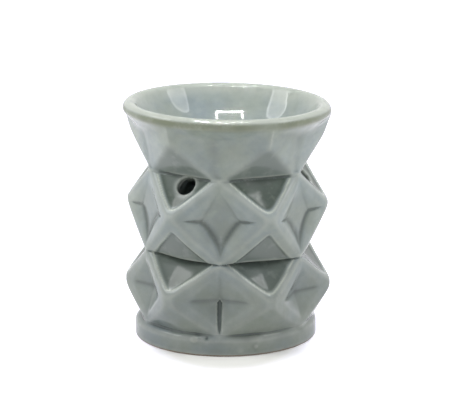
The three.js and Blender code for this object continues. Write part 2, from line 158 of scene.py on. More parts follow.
# Marks of glaze, painted shade and painted highlight on the body: widths and spans from the pattern's edges,
# and shares of full strength
POOL_AND_SHADE_SPAN = (0.8, 2.0)
LOWER_POOL_AND_SHADE = 0.8
LIP_INSET = 0.25
LIP_WIDTH = 0.38
OUTSIDE_REACH = 6
SHADE_SPAN = (-0.3, 2.2)
SHADE_REACH = 3
STAR_SPAN = (-0.5, -0.2)
STAR_RECESS = (0.4, 1.0)
STAR_SHADE = 0.3
LINE_WIDTH = 0.7
LINE_RECESS = (0.6, 1.6)
LINE_FADE = (1.5, -0.5)
VALLEY_LINE_WIDTH = 0.9
CREASE_RECESS = (0.2, 1.2)
CREASE_LINE = 0.8

# Marks on the bowl and foot: painted shade, a pale crest partly of painted light, and bare clay
OUTER_SPAN = (CREST_RADIUS - 1.5, CREST_RADIUS)
FACET_REACH = 1.5
UNDER_SPAN = (-0.8, 0.8)
VALLEY_FADE = (BOWL_PANEL[1] + 2, BOWL_PANEL[1] - 4)
VALLEY_SHADE = 0.3
CREST_REACH = 2.0
CREST_REACH_INSIDE = 8.0
CREST_FULL = 0.8
CREST_INSIDE = 0.8
UNDER_RIM_SHADE_START = (RIM_Z - 6.5, RIM_Z - 3.4)
UNDER_RIM_SHADE_END = (RIM_Z - 1.0, RIM_Z - 2.0)
BARE_SPAN = (1.0, 0.25)

# The photo's camera stands at this turn about the upright axis
VIEW_TURN = 34.97

# Lean of the whole burner to the camera's right
LEAN = math.tan(math.radians(1.07))
LEAN_RISE = 19.0

# Cell sizes of the meshes, and how far their grids reach from the axis and past the clay
BODY_CELL = 0.77
BOWL_CELL = 0.66
FOOT_CELL = 0.7
BODY_REACH = 50
FOOT_REACH = 47
GRID_MARGIN = 1.5

# Levels that the slip at the neck and at the foot stays within
BOWL_SLIP_Z = NECK_Z - 3
FOOT_SLIP_Z = BASE_Z + 5

# Reaches over which slopes and bends of a surface are measured
NORMAL_REACH = 0.12
FINE_REACH = 0.7
BROAD_REACH = 2.4

# The floor, and its shadow in metres: an ellipse round the foot, its shift, its edge and its glow
FLOOR_CORNERS = ((-900, -900, 0), (900, -900, 0), (900, 2500, 0), (-900, 2500, 0))
SHADOW_SCALE = (1.42, 1, 0)
SHADOW_SHIFT = (0, 0.014, 0)
SHADOW_EDGE = (0.040, 0.066)
SHADOW_GLOW = 0.12

# Light from all sides, and the lit frame overhead
AMBIENT = 0.5
FLOOR_IN_GLOSS = 0.5
LAMP_TARGET = (0, 0, 95)
FRAME_HALF_SIZE = (116, 130)
FRAME_CENTRE = (-12, -36)
FRAME_HEIGHT = 600
FRAME_RADIANCE = 800
FRAME_DOTS = 11

# The photo's camera: its distance and height angle from a target on the axis, and how it is turned
IMAGE_WIDTH = 450
FOCAL_PIXELS = 2447.22
SENSOR_WIDTH = 36.0
CAMERA_TARGET = (0.0, 0.0, 50.0)
CAMERA_DISTANCE = 1145.04
CAMERA_RISE = 14.0616
CAMERA_PITCH = 0.6536
CAMERA_ROLL = -0.2086
CAMERA_YAW = -0.0549

# The pattern repeats six times round the axis, each time with its mirror image
SECTOR = math.radians(60)
HALF_SECTOR = SECTOR / 2
MID_EDGE = math.cos(HALF_SECTOR)
DIAMOND_HALF_ANGLE = math.radians(20)


# Planes and soft joins between them

def unit(vector):
    return vector / np.linalg.norm(vector)


def corner(radius, degrees, z):
    angle = math.radians(degrees)
    return np.array([radius * math.cos(angle), radius * math.sin(angle), z])


def plane(a, b, c, inside):
    """Unit normal and offset of the plane through three points, positive on the side away from inside."""
    normal = unit(np.cross(b - a, c - a))
    if normal @ (inside - a) > 0:
        normal = -normal
    return normal, normal @ a


def above(face, points):
    return points @ face[0] - face[1]


def soft_max(distances, softness):
    """The largest of several distances, rounded off where two of them are close."""
    stack = np.stack(distances)
    top = stack.max(0)
    return top + softness * np.log(np.exp((stack - top) / softness).sum(0))


def soft_min(distances, softness):
    return -soft_max([-d for d in distances], softness)


def step(values, low, high):
    """Nothing at low, one at high, and smooth between them."""
    share = np.clip((values - low) / (high - low), 0, 1)
    return share * share * (3 - 2 * share)


def bell(values, width):
    """One where the values are nothing, falling off on both sides."""
    return np.exp(-(values / width) ** 2)


class Folded:
    """Points turned into one half of one sector, and their mirror images in its two bounds."""

    def __init__(self, points):
        self.radius = np.hypot(points[:, 0], points[:, 1])
        self.angle = np.arctan2(points[:, 1], points[:, 0])
        turn = (self.angle + HALF_SECTOR) % SECTOR - HALF_SECTOR
        self.phi = np.abs(turn)
        self.sideways = self.radius * np.sin(turn)
        self.z = points[:, 2]
        self.here = self.turned(self.phi)
        self.beside = self.turned(-self.phi)
        self.across = self.turned(SECTOR - self.phi)

    def turned(self, phi):
        return np.stack([self.radius * np.cos(phi), self.radius * np.sin(phi), self.z], 1)

    def both(self, faces, mirrored):
        """Distances above some faces, of the points here and of their mirror images."""
        return [above(face, points) for face in faces for points in (self.here, mirrored)]


# Outside of one tier of the body

class Tier:
    def __init__(self, sizes, has_star):
        top_z, bottom_z = sizes["top_z"], sizes["bottom_z"]
        node_radius = sizes["node_radius"]
        middle_z = (top_z + bottom_z) / 2
        inside = np.array([0.0, 0.0, middle_z])
        self.node_radius, self.has_star = node_radius, has_star
        self.node_z, self.middle_z, self.top_z = sizes["node_z"], middle_z, top_z

        top = corner(sizes["top_radius"], 0, top_z)
        next_top = corner(sizes["top_radius"], 60, top_z)
        bottom = corner(sizes["bottom_radius"], 0, bottom_z)
        next_bottom = corner(sizes["bottom_radius"], 60, bottom_z)
        node = corner(node_radius, 30, sizes["node_z"])
        sideways = corner(NODE_WIDTH / 2, -60, 0)
        node_high = node + sideways
        node_low = node_high - [0, 0, sizes["node_height"]]
        far_low = node_low - 2 * sideways
        middle = corner(node_radius * MID_EDGE, 0, middle_z)
        centre = corner(node_radius * MID_EDGE - DIAMOND_DEPTH, 0, middle_z)
        under = corner(sizes["bottom_mid_radius"], 30, bottom_z)
        self.border = [plane(top, node_high, middle, inside), plane(node_low, bottom, middle, inside)]
        self.slope = plane(top, next_top, node, inside)
        self.under = [plane(node_low, bottom, under, inside), plane(node_low, under, far_low, inside)]

        half_width = node_radius * math.sin(HALF_SECTOR)
        half_height = (top_z - bottom_z) / 2
        inset = DIAMOND_BORDER * math.hypot(half_width, half_height) / (half_width * half_height)
        tip_top, tip_side, tip_bottom = [
            point + (middle - point) * inset for point in (top, (node_high + node_low) / 2, bottom)
        ]
        self.pit = [plane(tip_top, tip_side, centre, inside), plane(tip_side, tip_bottom, centre, inside)]
        shoulder = centre + (tip_side - centre) * STAR_WIDTH / 2 / tip_side[1]
        self.star_points = tip_top, shoulder, tip_bottom

        left = top + POCKET_SHOULDER * unit(next_top - top)
        toe = node + POCKET_TOE * unit((top + next_top) / 2 - node)
        inward = corner(-POCKET_STEP, 30, 0)
        valley = corner(sizes["top_radius"] * MID_EDGE - POCKET_DEPTH - POCKET_VALLEY, 30, top_z)
        self.pocket_floor = plane(left + inward, toe + inward, valley, inside)
        self.pocket_wall = plane(left, toe, left + self.slope[0], next_top)

        apex = corner(node_radius, 30, sizes["node_z"] - sizes["node_height"] - HOLLOW_TOE)
        low_left = bottom + HOLLOW_SHOULDER * unit(next_bottom - bottom)
        self.hollow_wall = plane(low_left, apex, low_left + self.under[0][0], next_bottom)

    def hull(self, p):
        """Distance above the tier's outermost ridges and flats."""
        flats = [soft_min(p.both([face], p.beside), FLAT_SOFTNESS) for face in self.border]
        flats.append(above(self.slope, p.here))
        flats += p.both(self.under, p.across)
        flats.append(p.here[:, 0] * MID_EDGE + p.here[:, 1] * math.sin(HALF_SECTOR) - self.node_radius)
        return soft_max(flats, RIDGE_SOFTNESS)

    def star(self, p):
        """Clay that fills the middle of a diamond: a flat run from its top tip and a hollow one below."""
        top, shoulder, bottom = self.star_points
        rise = (p.z - shoulder[2]) / (top[2] - shoulder[2])
        fall = (p.z - shoulder[2]) / (bottom[2] - shoulder[2])
        upper = shoulder[0] + (top[0] - shoulder[0]) * rise
        lower = shoulder[0] + (bottom[0] - shoulder[0]) * fall ** 2
        return (p.here[:, 0] - np.where(rise > 0, upper, lower)) * STAR_FLATNESS

    def pocket_walls(self, p):
        """Negative within a pocket's outline, whose toe is round and whose sides bulge."""
        rise = np.clip((p.z - self.node_z) / (self.top_z - self.node_z), 0, 1)
        walls = soft_max(p.both([self.pocket_wall], p.across), POCKET_ROUND)
        return walls - POCKET_ROUND_INSET - POCKET_BULGE * np.sin(math.pi * rise)

    def star_edge(self, p):
        """One along the star's hollow lower edges and the valleys beside its shoulders."""
        pit = np.minimum(above(self.pit[0], p.here), above(self.pit[1], p.here))
        low_edge = bell(self.star(p) - pit, LINE_WIDTH)
        low_edge *= step(p.z - self.middle_z, *LINE_FADE)
        valley = bell(p.z - self.star_points[1][2], VALLEY_LINE_WIDTH) * (self.star(p) > pit)
        return np.maximum(low_edge, valley)

    def groove(self, p):
        """Runs down to the foot in the lower diamond at the front, and is raised elsewhere to cut nothing."""
        elsewhere = np.abs(p.angle - GROOVE_ANGLE) > HALF_SECTOR
        floor = above(self.pit[1], p.here) + GROOVE_DEPTH - GROOVE_RAISED * elsewhere
        width_share = np.clip((self.middle_z - p.z) / GROOVE_TAPER, -1, 1)
        sides = p.here[:, 1] - GROOVE_HALF_WIDTH * width_share
        return soft_min([floor, -sides], PIT_SOFTNESS)

    def pocket(self, p):
        floor = soft_min(p.both([self.pocket_floor], p.across), PIT_SOFTNESS)
        sides = POCKET_WALL_SLOPE * (above(self.slope, p.here) - self.pocket_walls(p))
        return soft_min([floor, sides], PIT_SOFTNESS)

    def hollow(self, p):
        """The shallow triangle under a node."""
        under = soft_max(p.both(self.under, p.across), FLAT_SOFTNESS)
        edge = soft_max(p.both([self.hollow_wall], p.across), HOLLOW_EDGE_SOFTNESS)
        return soft_min([under + HOLLOW_STEP, -edge], HOLLOW_SOFTNESS)

    def distance(self, p):
        pit = p.both(self.pit, p.beside)
        if self.has_star:
            pit = soft_min([*pit, self.star(p)], STAR_SOFTNESS) + STAR_EDGE_DEPTH * self.star_edge(p)
            below = self.hollow(p)
        else:
            pit = soft_min(pit, PIT_SOFTNESS)
            below = self.groove(p)
        return soft_max([self.hull(p), pit, self.pocket(p), below], TIER_SOFTNESS)


upper_tier = Tier(UPPER_TIER, True)
lower_tier = Tier(LOWER_TIER, False)


# Solids of revolution, from a closed outline of radius and height

def looked_up(table, row, column):
    """A table's value at places between its rows and columns."""
    row = np.clip(row, 0, table.shape[0] - 1.001)
    column = np.clip(column, 0, table.shape[1] - 1.001)
    i, j = row.astype(int), column.astype(int)
    s, t = row - i, column - j
    low = table[i, j] * (1 - s) + table[i + 1, j] * s
    high = table[i, j + 1] * (1 - s) + table[i + 1, j + 1] * s
    return low * (1 - t) + high * t


class Turned:
    """Signed distances to an outline, tabled on a grid of radius and height."""
    CELL = 0.15
    MARGIN = 4.0

    def __init__(self, outline):
        points = np.array(outline, float)
        ends = np.roll(points, -1, 0)
        self.low = points.min(0) - self.MARGIN
        counts = np.ceil((points.max(0) + self.MARGIN - self.low) / self.CELL).astype(int) + 1
        r, z = [self.low[i] + self.CELL * np.arange(counts[i]) for i in (0, 1)]
        grid = np.stack(np.meshgrid(r, z, indexing="ij"), -1)
        nearest = np.full(counts, np.inf)
        crossings = np.zeros(counts, int)
        for a, b in zip(points, ends):
            along = b - a
            if along @ along < 1e-12:
                continue
            t = np.clip(((grid - a) @ along) / (along @ along), 0, 1)
            gap = grid - (a + t[..., None] * along)
            nearest = np.minimum(nearest, np.hypot(gap[..., 0], gap[..., 1]))
            if a[1] != b[1]:
                spans = (a[1] > grid[..., 1]) != (b[1] > grid[..., 1])
                at = a[0] + (grid[..., 1] - a[1]) * (b[0] - a[0]) / (b[1] - a[1])
                crossings += spans & (grid[..., 0] < at)
        self.table = np.where(crossings % 2 == 1, -nearest, nearest)

    def distance(self, radius, z):
        return looked_up(self.table, (radius - self.low[0]) / self.CELL, (z - self.low[1]) / self.CELL)


def arc(centre, semi_axes, start, stop, steps):
    """Points of an ellipse's arc between two angles in degrees, the first left out."""
    turns = np.radians(np.linspace(start, stop, steps + 1)[1:])
    return [(centre[0] + semi_axes[0] * math.cos(t), centre[1] + semi_axes[1] * math.sin(t)) for t in turns]


def bezier(controls, steps):
    a, b, c, d = [np.array(point, float) for point in controls]
    t = np.linspace(0, 1, steps + 1)[:, None]
    points = a * (1 - t) ** 3 + 3 * b * t * (1 - t) ** 2 + 3 * c * t ** 2 * (1 - t) + d * t ** 3
    return [tuple(point) for point in points]


# The body, bowl and foot as distance fields, negative inside the clay

class Chamber:
    """The chamber's radius by turn and height: flat faces between rows of corners, with soft edges."""
    TURNS = np.linspace(0, HALF_SECTOR, 31)
    LEVEL_STEP = 0.5
    MARGIN = 6
    LEVELS = np.arange(BASE_Z - MARGIN, NECK_Z + MARGIN, LEVEL_STEP)
    SMOOTHINGS = 6

    def __init__(self):
        base = (LOWER_TIER["bottom_radius"] - RIDGE_WALL, LOWER_TIER["bottom_mid_radius"] - RIDGE_WALL)
        waist = (LOWER_TIER["top_radius"] - RIDGE_WALL, self.under_pocket(LOWER_TIER))
        neck = (UPPER_TIER["top_radius"] - RIDGE_WALL, self.under_pocket(UPPER_TIER))
        nodes = [
            (tier["node_radius"] * MID_EDGE - DIAMOND_DEPTH - BODY_WALL, tier["node_radius"] - RIDGE_WALL)
            for tier in (LOWER_TIER, UPPER_TIER)
        ]
        rows = [
            (base, BASE_Z), (nodes[0], LOWER_TIER["node_z"]), (waist, WAIST_Z),
            (waist, WAIST_Z + BODY_WALL), (nodes[1], UPPER_TIER["node_z"]), (neck, NECK_Z),
        ]
        table = np.full((len(self.LEVELS), len(self.TURNS)), np.inf)
        for (lower, low_z), (upper, high_z) in zip(rows, rows[1:]):
            a, b = corner(lower[0], 0, low_z), corner(lower[1], 30, low_z)
            c, d = corner(upper[0], 0, high_z), corner(upper[1], 30, high_z)
            faces = [(a, b, c), (b, c, d)] if lower in nodes else [(a, b, d), (a, c, d)]
            from_z = low_z if low_z > BASE_Z else self.LEVELS[0]
            to_z = high_z if high_z < NECK_Z else np.inf
            held = (self.LEVELS >= from_z) & (self.LEVELS < to_z)
            for face in faces:
                normal, offset = plane(*face, np.array([0.0, 0.0, (low_z + high_z) / 2]))
                facing = normal[0] * np.cos(self.TURNS) + normal[1] * np.sin(self.TURNS)
                z = np.clip(self.LEVELS[held], BASE_Z, NECK_Z)[:, None]
                table[held] = np.minimum(table[held], (offset - normal[2] * z) / facing)
        for _ in range(self.SMOOTHINGS):
            wide = np.pad(np.pad(table, ((1, 1), (0, 0)), "edge"), ((0, 0), (1, 1)), "reflect")
            table = (wide[:-2, 1:-1] + wide[2:, 1:-1] + wide[1:-1, :-2] + wide[1:-1, 2:] + 2 * table) / 6
        along, around = np.gradient(table, self.LEVELS, self.TURNS)
        self.radius = table
        self.flatness = 1 / np.sqrt(1 + along ** 2 + (around / table) ** 2)

    @staticmethod
    def under_pocket(tier):
        return tier["top_radius"] * MID_EDGE - POCKET_DEPTH - BODY_WALL

    def distance(self, p):
        row, column = (p.z - self.LEVELS[0]) / self.LEVEL_STEP, p.phi / self.TURNS[1]
        return (p.radius - looked_up(self.radius, row, column)) * looked_up(self.flatness, row, column)


chamber = Chamber()


def door_distance(points):
    rise = points[:, 2] - (BASE_Z + DOOR_HEIGHT - DOOR_HALF_WIDTH)
    arch = np.where(rise > 0, np.hypot(points[:, 0], rise), np.abs(points[:, 0])) - DOOR_HALF_WIDTH
    return np.maximum(arch, -points[:, 1])


def vent_distance(points, degrees):
    neck = np.array([UPPER_TIER["top_radius"] * MID_EDGE - POCKET_DEPTH, NECK_Z])
    node = np.array([UPPER_TIER["node_radius"], UPPER_TIER["node_z"]])
    slope = unit(node - neck)
    mouth = neck + slope * (VENT_BRIDGE + VENT_RADIUS)
    centre = corner(mouth[0], degrees, mouth[1])
    axis = corner(-slope[1], degrees, slope[0])
    offset = points - centre
    along = offset @ axis
    across = np.linalg.norm(offset - along[:, None] * axis, axis=1)
    return np.maximum(across - VENT_RADIUS, np.abs(along) - VENT_HALF_LENGTH)


def waves(points):
    """The slow unevenness of slip-cast clay."""
    x, y, z = points.T
    flat = np.sin(0.21 * x + 1.3) * np.sin(0.24 * y + 0.4)
    return WAVE_SIZE * (flat + np.sin(0.33 * z + 0.11 * x - 0.14 * y))


def unevenly(points):
    """Points moved a little round the axis and along it, so that the pattern isn't quite regular."""
    x, y, z = points.T
    turn = UNEVEN_TURN * np.sin(0.10 * z + 0.06 * x + 1.1) * np.cos(0.07 * y - 0.6)
    lift = UNEVEN_LIFT * np.sin(0.11 * x + 0.4) * np.sin(0.12 * y - 0.8)
    return np.stack([x * np.cos(turn) - y * np.sin(turn), x * np.sin(turn) + y * np.cos(turn), z + lift], 1)


def body_field(points):
    uneven = unevenly(points)
    p = Folded(uneven)
    outside = soft_min([
        soft_max([upper_tier.distance(p), WAIST_Z - p.z], WAIST_SOFTNESS),
        soft_max([lower_tier.distance(p), p.z - WAIST_Z], WAIST_SOFTNESS),
    ], TIER_SOFTNESS)
    outside = soft_max([outside, points[:, 2] - NECK_Z, BASE_Z - points[:, 2]], SEAM_SOFTNESS)
    clay = soft_max([outside + waves(points), -chamber.distance(p)], WALL_SOFTNESS)
    clay = soft_max([clay, -door_distance(points)], DOOR_SOFTNESS)
    for degrees in VENT_ANGLES:
        clay = soft_max([clay, -vent_distance(uneven, degrees)], VENT_SOFTNESS)
    return clay


def with_slip(clay, points, near, band):
    """A casting with the slip that fills the corner between it and the body, in a band of heights."""
    rows = np.flatnonzero(near)
    middle, half_height = band
    outside_band = np.abs(points[rows, 2] - middle) - half_height
    body = np.maximum(body_field(points[rows]) + SLIP_SINK, outside_band)
    clay[rows] = soft_min([clay[rows], body], SLIP_SOFTNESS)
    return clay


def body_marks(points):
    """Marks on the body: glaze pooled in its pockets and creases with painted shade there, painted shade
    under its nodes and in the middle of its upper diamonds, and pale pocket edges of thin glaze and painted
    highlight.
    """
    p = Folded(unevenly(points))
    is_upper = p.z > WAIST_Z
    in_diamond = p.phi < DIAMOND_HALF_ANGLE
    pool_and_shade, lip = np.zeros((2, len(points)))
    # The pockets darken with pooled glaze and with painted shade; the lower tier's are painted less dark
    for tier, held, share in ((upper_tier, is_upper, 1.0), (lower_tier, ~is_upper, LOWER_POOL_AND_SHADE)):
        walls = tier.pocket_walls(p)
        outside = (above(tier.slope, p.here) > -OUTSIDE_REACH) & held
        pool_and_shade = np.where(outside, share * step(-walls, *POOL_AND_SHADE_SPAN), pool_and_shade)
        # Pale pocket edges: glaze breaking thin and painted highlight
        lip = np.where(outside, bell(walls + LIP_INSET, LIP_WIDTH), lip)
    # Painted shade in the hollows under the upper nodes and over the stars of the upper diamonds
    edge = np.max(p.both([upper_tier.hollow_wall], p.across), 0)
    under = np.max(p.both(upper_tier.under, p.across), 0)
    shade = step(-edge, *SHADE_SPAN) * (is_upper & (under > -SHADE_REACH))
    recess = -upper_tier.hull(p)
    star = step(-np.abs(upper_tier.star(p)), *STAR_SPAN) * step(recess, *STAR_RECESS)
    star *= is_upper & in_diamond
    # Dark lines along the stars' edges and the lower diamonds' middle crease: gathered glaze and painted
    # shade
    star_line = upper_tier.star_edge(p) * step(recess, *LINE_RECESS)
    crease = bell(p.z - lower_tier.middle_z, LINE_WIDTH) * step(-lower_tier.hull(p), *CREASE_RECESS)
    line = np.where(is_upper, star_line, CREASE_LINE * crease) * in_diamond
    return {"pool_and_shade": pool_and_shade, "shade": np.maximum(shade, STAR_SHADE * star), "line": line, "lip": lip}


def bowl_marks(points):
    """Painted shade under the bowl's panels, the rim's pale crest of thin glaze and painted light, and
    painted shade under the rim.
    """
    p = Folded(points)
    uneven = Folded(unevenly(points))
    panel, cheek, under = bowl_facets(uneven)
    outer = step(p.radius, *OUTER_SPAN)
    facing = soft_max([panel, cheek, under], FACET_SOFTNESS) > -FACET_REACH
    shade = step(under - np.maximum(panel, cheek), *UNDER_SPAN)
    valley = panel_valley(uneven) * step(p.z, *VALLEY_FADE)
    # The pale crest: thinner glaze over the rim, and painted light on its top and down the dish's upper side
    reach = CREST_REACH_INSIDE + (CREST_REACH - CREST_REACH_INSIDE) * outer
    crest = step(p.z, RIM_Z - reach, RIM_Z - CREST_FULL) * (CREST_INSIDE + (1 - CREST_INSIDE) * outer)
    # Painted shade on the rim's downward face
    under_rim_shade = step(p.z, *UNDER_RIM_SHADE_START) * step(p.z, *UNDER_RIM_SHADE_END) * outer
    return {"shade": np.maximum(shade, VALLEY_SHADE * valley) * facing, "crest": crest, "under_rim_shade": under_rim_shade}


def foot_marks(points):
    """Bare clay on the underside and the edge that stands on the table."""
    return {"bare": step(points[:, 2], *BARE_SPAN)}


brink_r = CREST_RADIUS - CREST_ROUND * math.sin(BRINK_SLOPE)
brink_z = RIM_Z - CREST_ROUND * (1 - math.cos(BRINK_SLOPE))
dish_side = bezier([
    (brink_r, brink_z),
    (brink_r - DISH_SIDE_LENGTH * math.cos(BRINK_SLOPE), brink_z - DISH_SIDE_LENGTH * math.sin(BRINK_SLOPE)),
    (DISH_TURN_RADIUS, NECK_Z + DISH_FLOOR + DISH_TURN_RISE),
    (DISH_FLOOR_RADIUS, NECK_Z + DISH_FLOOR),
], DISH_SIDE_STEPS)
rim_turned = Turned(
    [(0, RIM_SKIRT_Z), (RIM_RADIUS, RIM_SKIRT_Z), (RIM_RADIUS, RIM_Z - RIM_DROP)]
    + arc((CREST_RADIUS, RIM_Z - RIM_DROP), (RIM_RADIUS - CREST_RADIUS, RIM_DROP), 0, 90, 24)
    + arc((CREST_RADIUS, RIM_Z - CREST_ROUND), (CREST_ROUND,) * 2, 90, 90 + math.degrees(BRINK_SLOPE), 16)
    + dish_side
    + [(0, NECK_Z + DISH_FLOOR)]
)
seat_corner = corner(SEAT_RADIUS, 0, NECK_Z)
seat_middle = corner(SEAT_RADIUS - SEAT_SAG, 30, NECK_Z)
bowl_node = corner(BOWL_NODE[0], 30, BOWL_NODE[1])
bowl_knee = corner(BOWL_KNEE[0], 30, BOWL_KNEE[1])
bowl_inside = np.array([0.0, 0.0, (NECK_Z + RIM_Z) / 2])
bowl_under = plane(seat_corner, seat_middle, bowl_knee, bowl_inside)
bowl_cheek = plane(seat_corner, bowl_knee, bowl_node, bowl_inside)
bowl_panel = plane(seat_corner, bowl_node, corner(BOWL_PANEL[0], 0, BOWL_PANEL[1]), bowl_inside)


def panel_valley(p):
    """One along the middle of a bowl panel, falling to nothing on both sides."""
    return bell(p.sideways + VALLEY_SHIFT, VALLEY_HALF_WIDTH)


def bowl_facets(p):
    """The panels, and the faces under them that lean out over the neck."""
    panel = soft_max(p.both([bowl_panel], p.beside), PANEL_SOFTNESS)
    cheek = soft_max(p.both([bowl_cheek], p.across), CHEEK_SOFTNESS)
    under = soft_max(p.both([bowl_under], p.across), CHEEK_SOFTNESS)
    return panel + VALLEY_DEPTH * panel_valley(p), cheek, under


def bowl_field(points):
    p = Folded(points)
    turned = rim_turned.distance(p.radius, p.z)
    facets = soft_max(bowl_facets(Folded(unevenly(points))), FACET_SOFTNESS)
    brow = (RIM_Z - RIM_DROP - BROW_SLOPE * (RIM_RADIUS - p.radius) - p.z) / math.hypot(1, BROW_SLOPE)
    outside = soft_min([facets, brow], BROW_SOFTNESS)
    clay = soft_max([turned, outside + waves(points), NECK_Z - p.z], RIM_SOFTNESS)
    return with_slip(clay, points, p.z < NECK_Z + SLIP_REACH, (NECK_Z, SLIP_REACH / 2))


foot_turned = Turned(
    [(0, FOOT_HOLLOW_DEPTH), (FOOT_HOLLOW_RADIUS, FOOT_HOLLOW_DEPTH)]
    + [(FOOT_HOLLOW_RADIUS + FOOT_HOLLOW_DEPTH / 2, 0), (FOOT_RADIUS - FOOT_BOTTOM_ROUND, 0)]
    + arc((FOOT_RADIUS - FOOT_BOTTOM_ROUND, FOOT_BOTTOM_ROUND), (FOOT_BOTTOM_ROUND,) * 2, -90, 0, 8)
    + arc((FOOT_RADIUS - FOOT_TOP_ROUND, BASE_Z - FOOT_TOP_ROUND), (FOOT_TOP_ROUND,) * 2, 0, 90, 16)
    + [(0, BASE_Z)]
)


# Blobs of slip on the foot, by place in the photo's frame, height and reach
SLIP_BLOBS = (
    ((-15.6, -40.2, 8.0), 0.9, 1.8), ((-9.8, -41.2, 8.6), -0.6, 1.2), ((13.5, -39.8, 7.6), 0.6, 3.0),
    ((13.0, -41.0, 4.2), 0.4, 1.1), ((6.0, -42.0, 2.6), 0.25, 2.0),
)


def foot_field(points):
    centre = in_photo(-FOOT_SHIFT, 0, 0)
    clay = foot_turned.distance(np.hypot(*(points - centre)[:, :2].T), points[:, 2])
    for place, height, reach in SLIP_BLOBS:
        offset = points - in_photo(*place)
        clay = clay - height * np.exp(-(offset ** 2).sum(1) / reach ** 2)
    return with_slip(clay, points, points[:, 2] > BASE_Z - SLIP_REACH, (BASE_Z, SLIP_REACH))


# A mesh of a field's zero surface, with one corner in each grid cell that the surface crosses

def gradient(field, points, reach):
    parts = [field(points + axis) - field(points - axis) for axis in np.eye(3) * reach]
    return np.stack(parts, 1) / (2 * reach)


def sampled(field, low, high, cell):
    """The field on a grid, worked out point by point only in blocks near its surface."""
    block, batch, nearness = 4, 4000, 1.35
    counts = np.ceil((high - low) / (cell * block)).astype(int) + 1
    corners = np.stack(np.meshgrid(*[np.arange(n) for n in counts], indexing="ij"), -1).reshape(-1, 3)
    centres = low + (corners + 0.5) * block * cell
    coarse = field(centres)
    values = np.repeat(coarse[:, None], block ** 3, 1)
    close = np.abs(coarse) < block * cell * nearness
    offsets = np.stack(np.meshgrid(*[np.arange(block)] * 3, indexing="ij"), -1).reshape(-1, 3)
    near = corners[close]
    for start in range(0, len(near), batch):
        part = slice(start, start + batch)
        points = (near[part, None] * block + offsets[None]).reshape(-1, 3) * cell + low
        rows = np.flatnonzero(close)[part]
        values[rows] = field(points).reshape(-1, block ** 3)
    shaped = values.reshape(*counts, block, block, block).transpose(0, 3, 1, 4, 2, 5)
    return shaped.reshape(*(counts * block))


def surface_net(field, low, high, cell):
    values = sampled(field, low, high, cell)
    inside = values < 0
    total = sum(
        inside[i:i - 1 or None, j:j - 1 or None, k:k - 1 or None].astype(np.int8)
        for i in (0, 1) for j in (0, 1) for k in (0, 1)
    )
    active = np.argwhere((total > 0) & (total < 8))
    number = np.full(total.shape, -1, np.int64)
    number[tuple(active.T)] = np.arange(len(active))

    def value(offset):
        return values[tuple((active + offset).T)]

    place, hits = np.zeros((len(active), 3)), np.zeros(len(active))
    for axis in range(3):
        for i in (0, 1):
            for j in (0, 1):
                start = np.insert([i, j], axis, 0)
                stop = np.insert([i, j], axis, 1)
                a, b = value(start), value(stop)
                crossed = (a < 0) != (b < 0)
                share = np.where(crossed, a / np.where(crossed, a - b, 1), 0)
                place += np.where(crossed[:, None], start + share[:, None] * (stop - start), 0)
                hits += crossed
    points = low + (active + place / hits[:, None]) * cell

    quads = []
    for axis in range(3):
        u, v = [(axis + 1) % 3, (axis + 2) % 3]
        first = [slice(None)] * 3
        second = [slice(None)] * 3
        first[axis], second[axis] = slice(None, -1), slice(1, None)
        change = np.argwhere(inside[tuple(first)] != inside[tuple(second)])
        change = change[(change[:, u] > 0) & (change[:, v] > 0)]
        outward = inside[tuple(change.T)]
        ring = []
        for du, dv in ((-1, -1), (0, -1), (0, 0), (-1, 0)):
            cells = change.copy()
            cells[:, u] += du
            cells[:, v] += dv
            ring.append(number[tuple(cells.T)])
        quad = np.stack(ring, 1)
        quads.append(np.where(outward[:, None], quad, quad[:, ::-1]))
    quads = np.concatenate(quads)

    # Draw the corners onto the surface, by no more than a part of a cell each time
    reach, flattest, longest = 0.05, 0.05, 0.4 * cell
    for _ in range(3):
        slope = gradient(field, points, reach)
        length = (slope ** 2).sum(1, keepdims=True)
        shift = -field(points)[:, None] * slope / np.maximum(length, flattest)
        size = np.linalg.norm(shift, axis=1, keepdims=True)
        points = points + shift * np.minimum(1, longest / np.maximum(size, 1e-9))
    return points, quads


# Objects, their places and directions

def placed(name, data):
    """A new object in the scene."""
    item = bpy.data.objects.new(name, data)
    bpy.context.scene.collection.objects.link(item)
    return item


def stood(place, *axes):
    """The matrix of an object at a place in millimetres, with its own axes along these directions."""
    matrix = Matrix([[*row] for row in np.stack(axes, 1)]).to_4x4()
    matrix.translation = Vector(place * MM)
    return matrix


def in_photo(right, back, up):
    """A point or direction given from the camera's side, as right, away and up."""
    cos, sin = math.cos(math.radians(VIEW_TURN)), math.sin(math.radians(VIEW_TURN))
    return np.array([right * cos - back * sin, right * sin + back * cos, up])


# Pieces of glazed clay

def leaned(points, normals):
    """The burner's lean: its right side, as the camera sees it, is lower, and more so from foot to rim."""
    right = in_photo(1, 0, 0)
    reach = CREST_RADIUS + points @ right
    share = np.clip((points[:, 2] - BASE_Z) / LEAN_RISE, 0, 1)
    share_slope = np.where((share > 0) & (share < 1), 1 / LEAN_RISE, 0)
    drop = LEAN * reach * share
    moved = points - drop[:, None] * [0, 0, 1]
    slope = -LEAN * (share[:, None] * right + (reach * share_slope)[:, None] * [0, 0, 1])
    bent = normals - (normals[:, 2] / (1 + slope[:, 2]))[:, None] * slope
    return moved, bent / np.linalg.norm(bent, axis=1, keepdims=True)


def curvature(field, points, reach):
    """Positive on ridges and negative in creases, one over millimetres."""
    total = sum(field(points + axis) + field(points - axis) for axis in np.eye(3) * reach)
    return total / reach ** 2


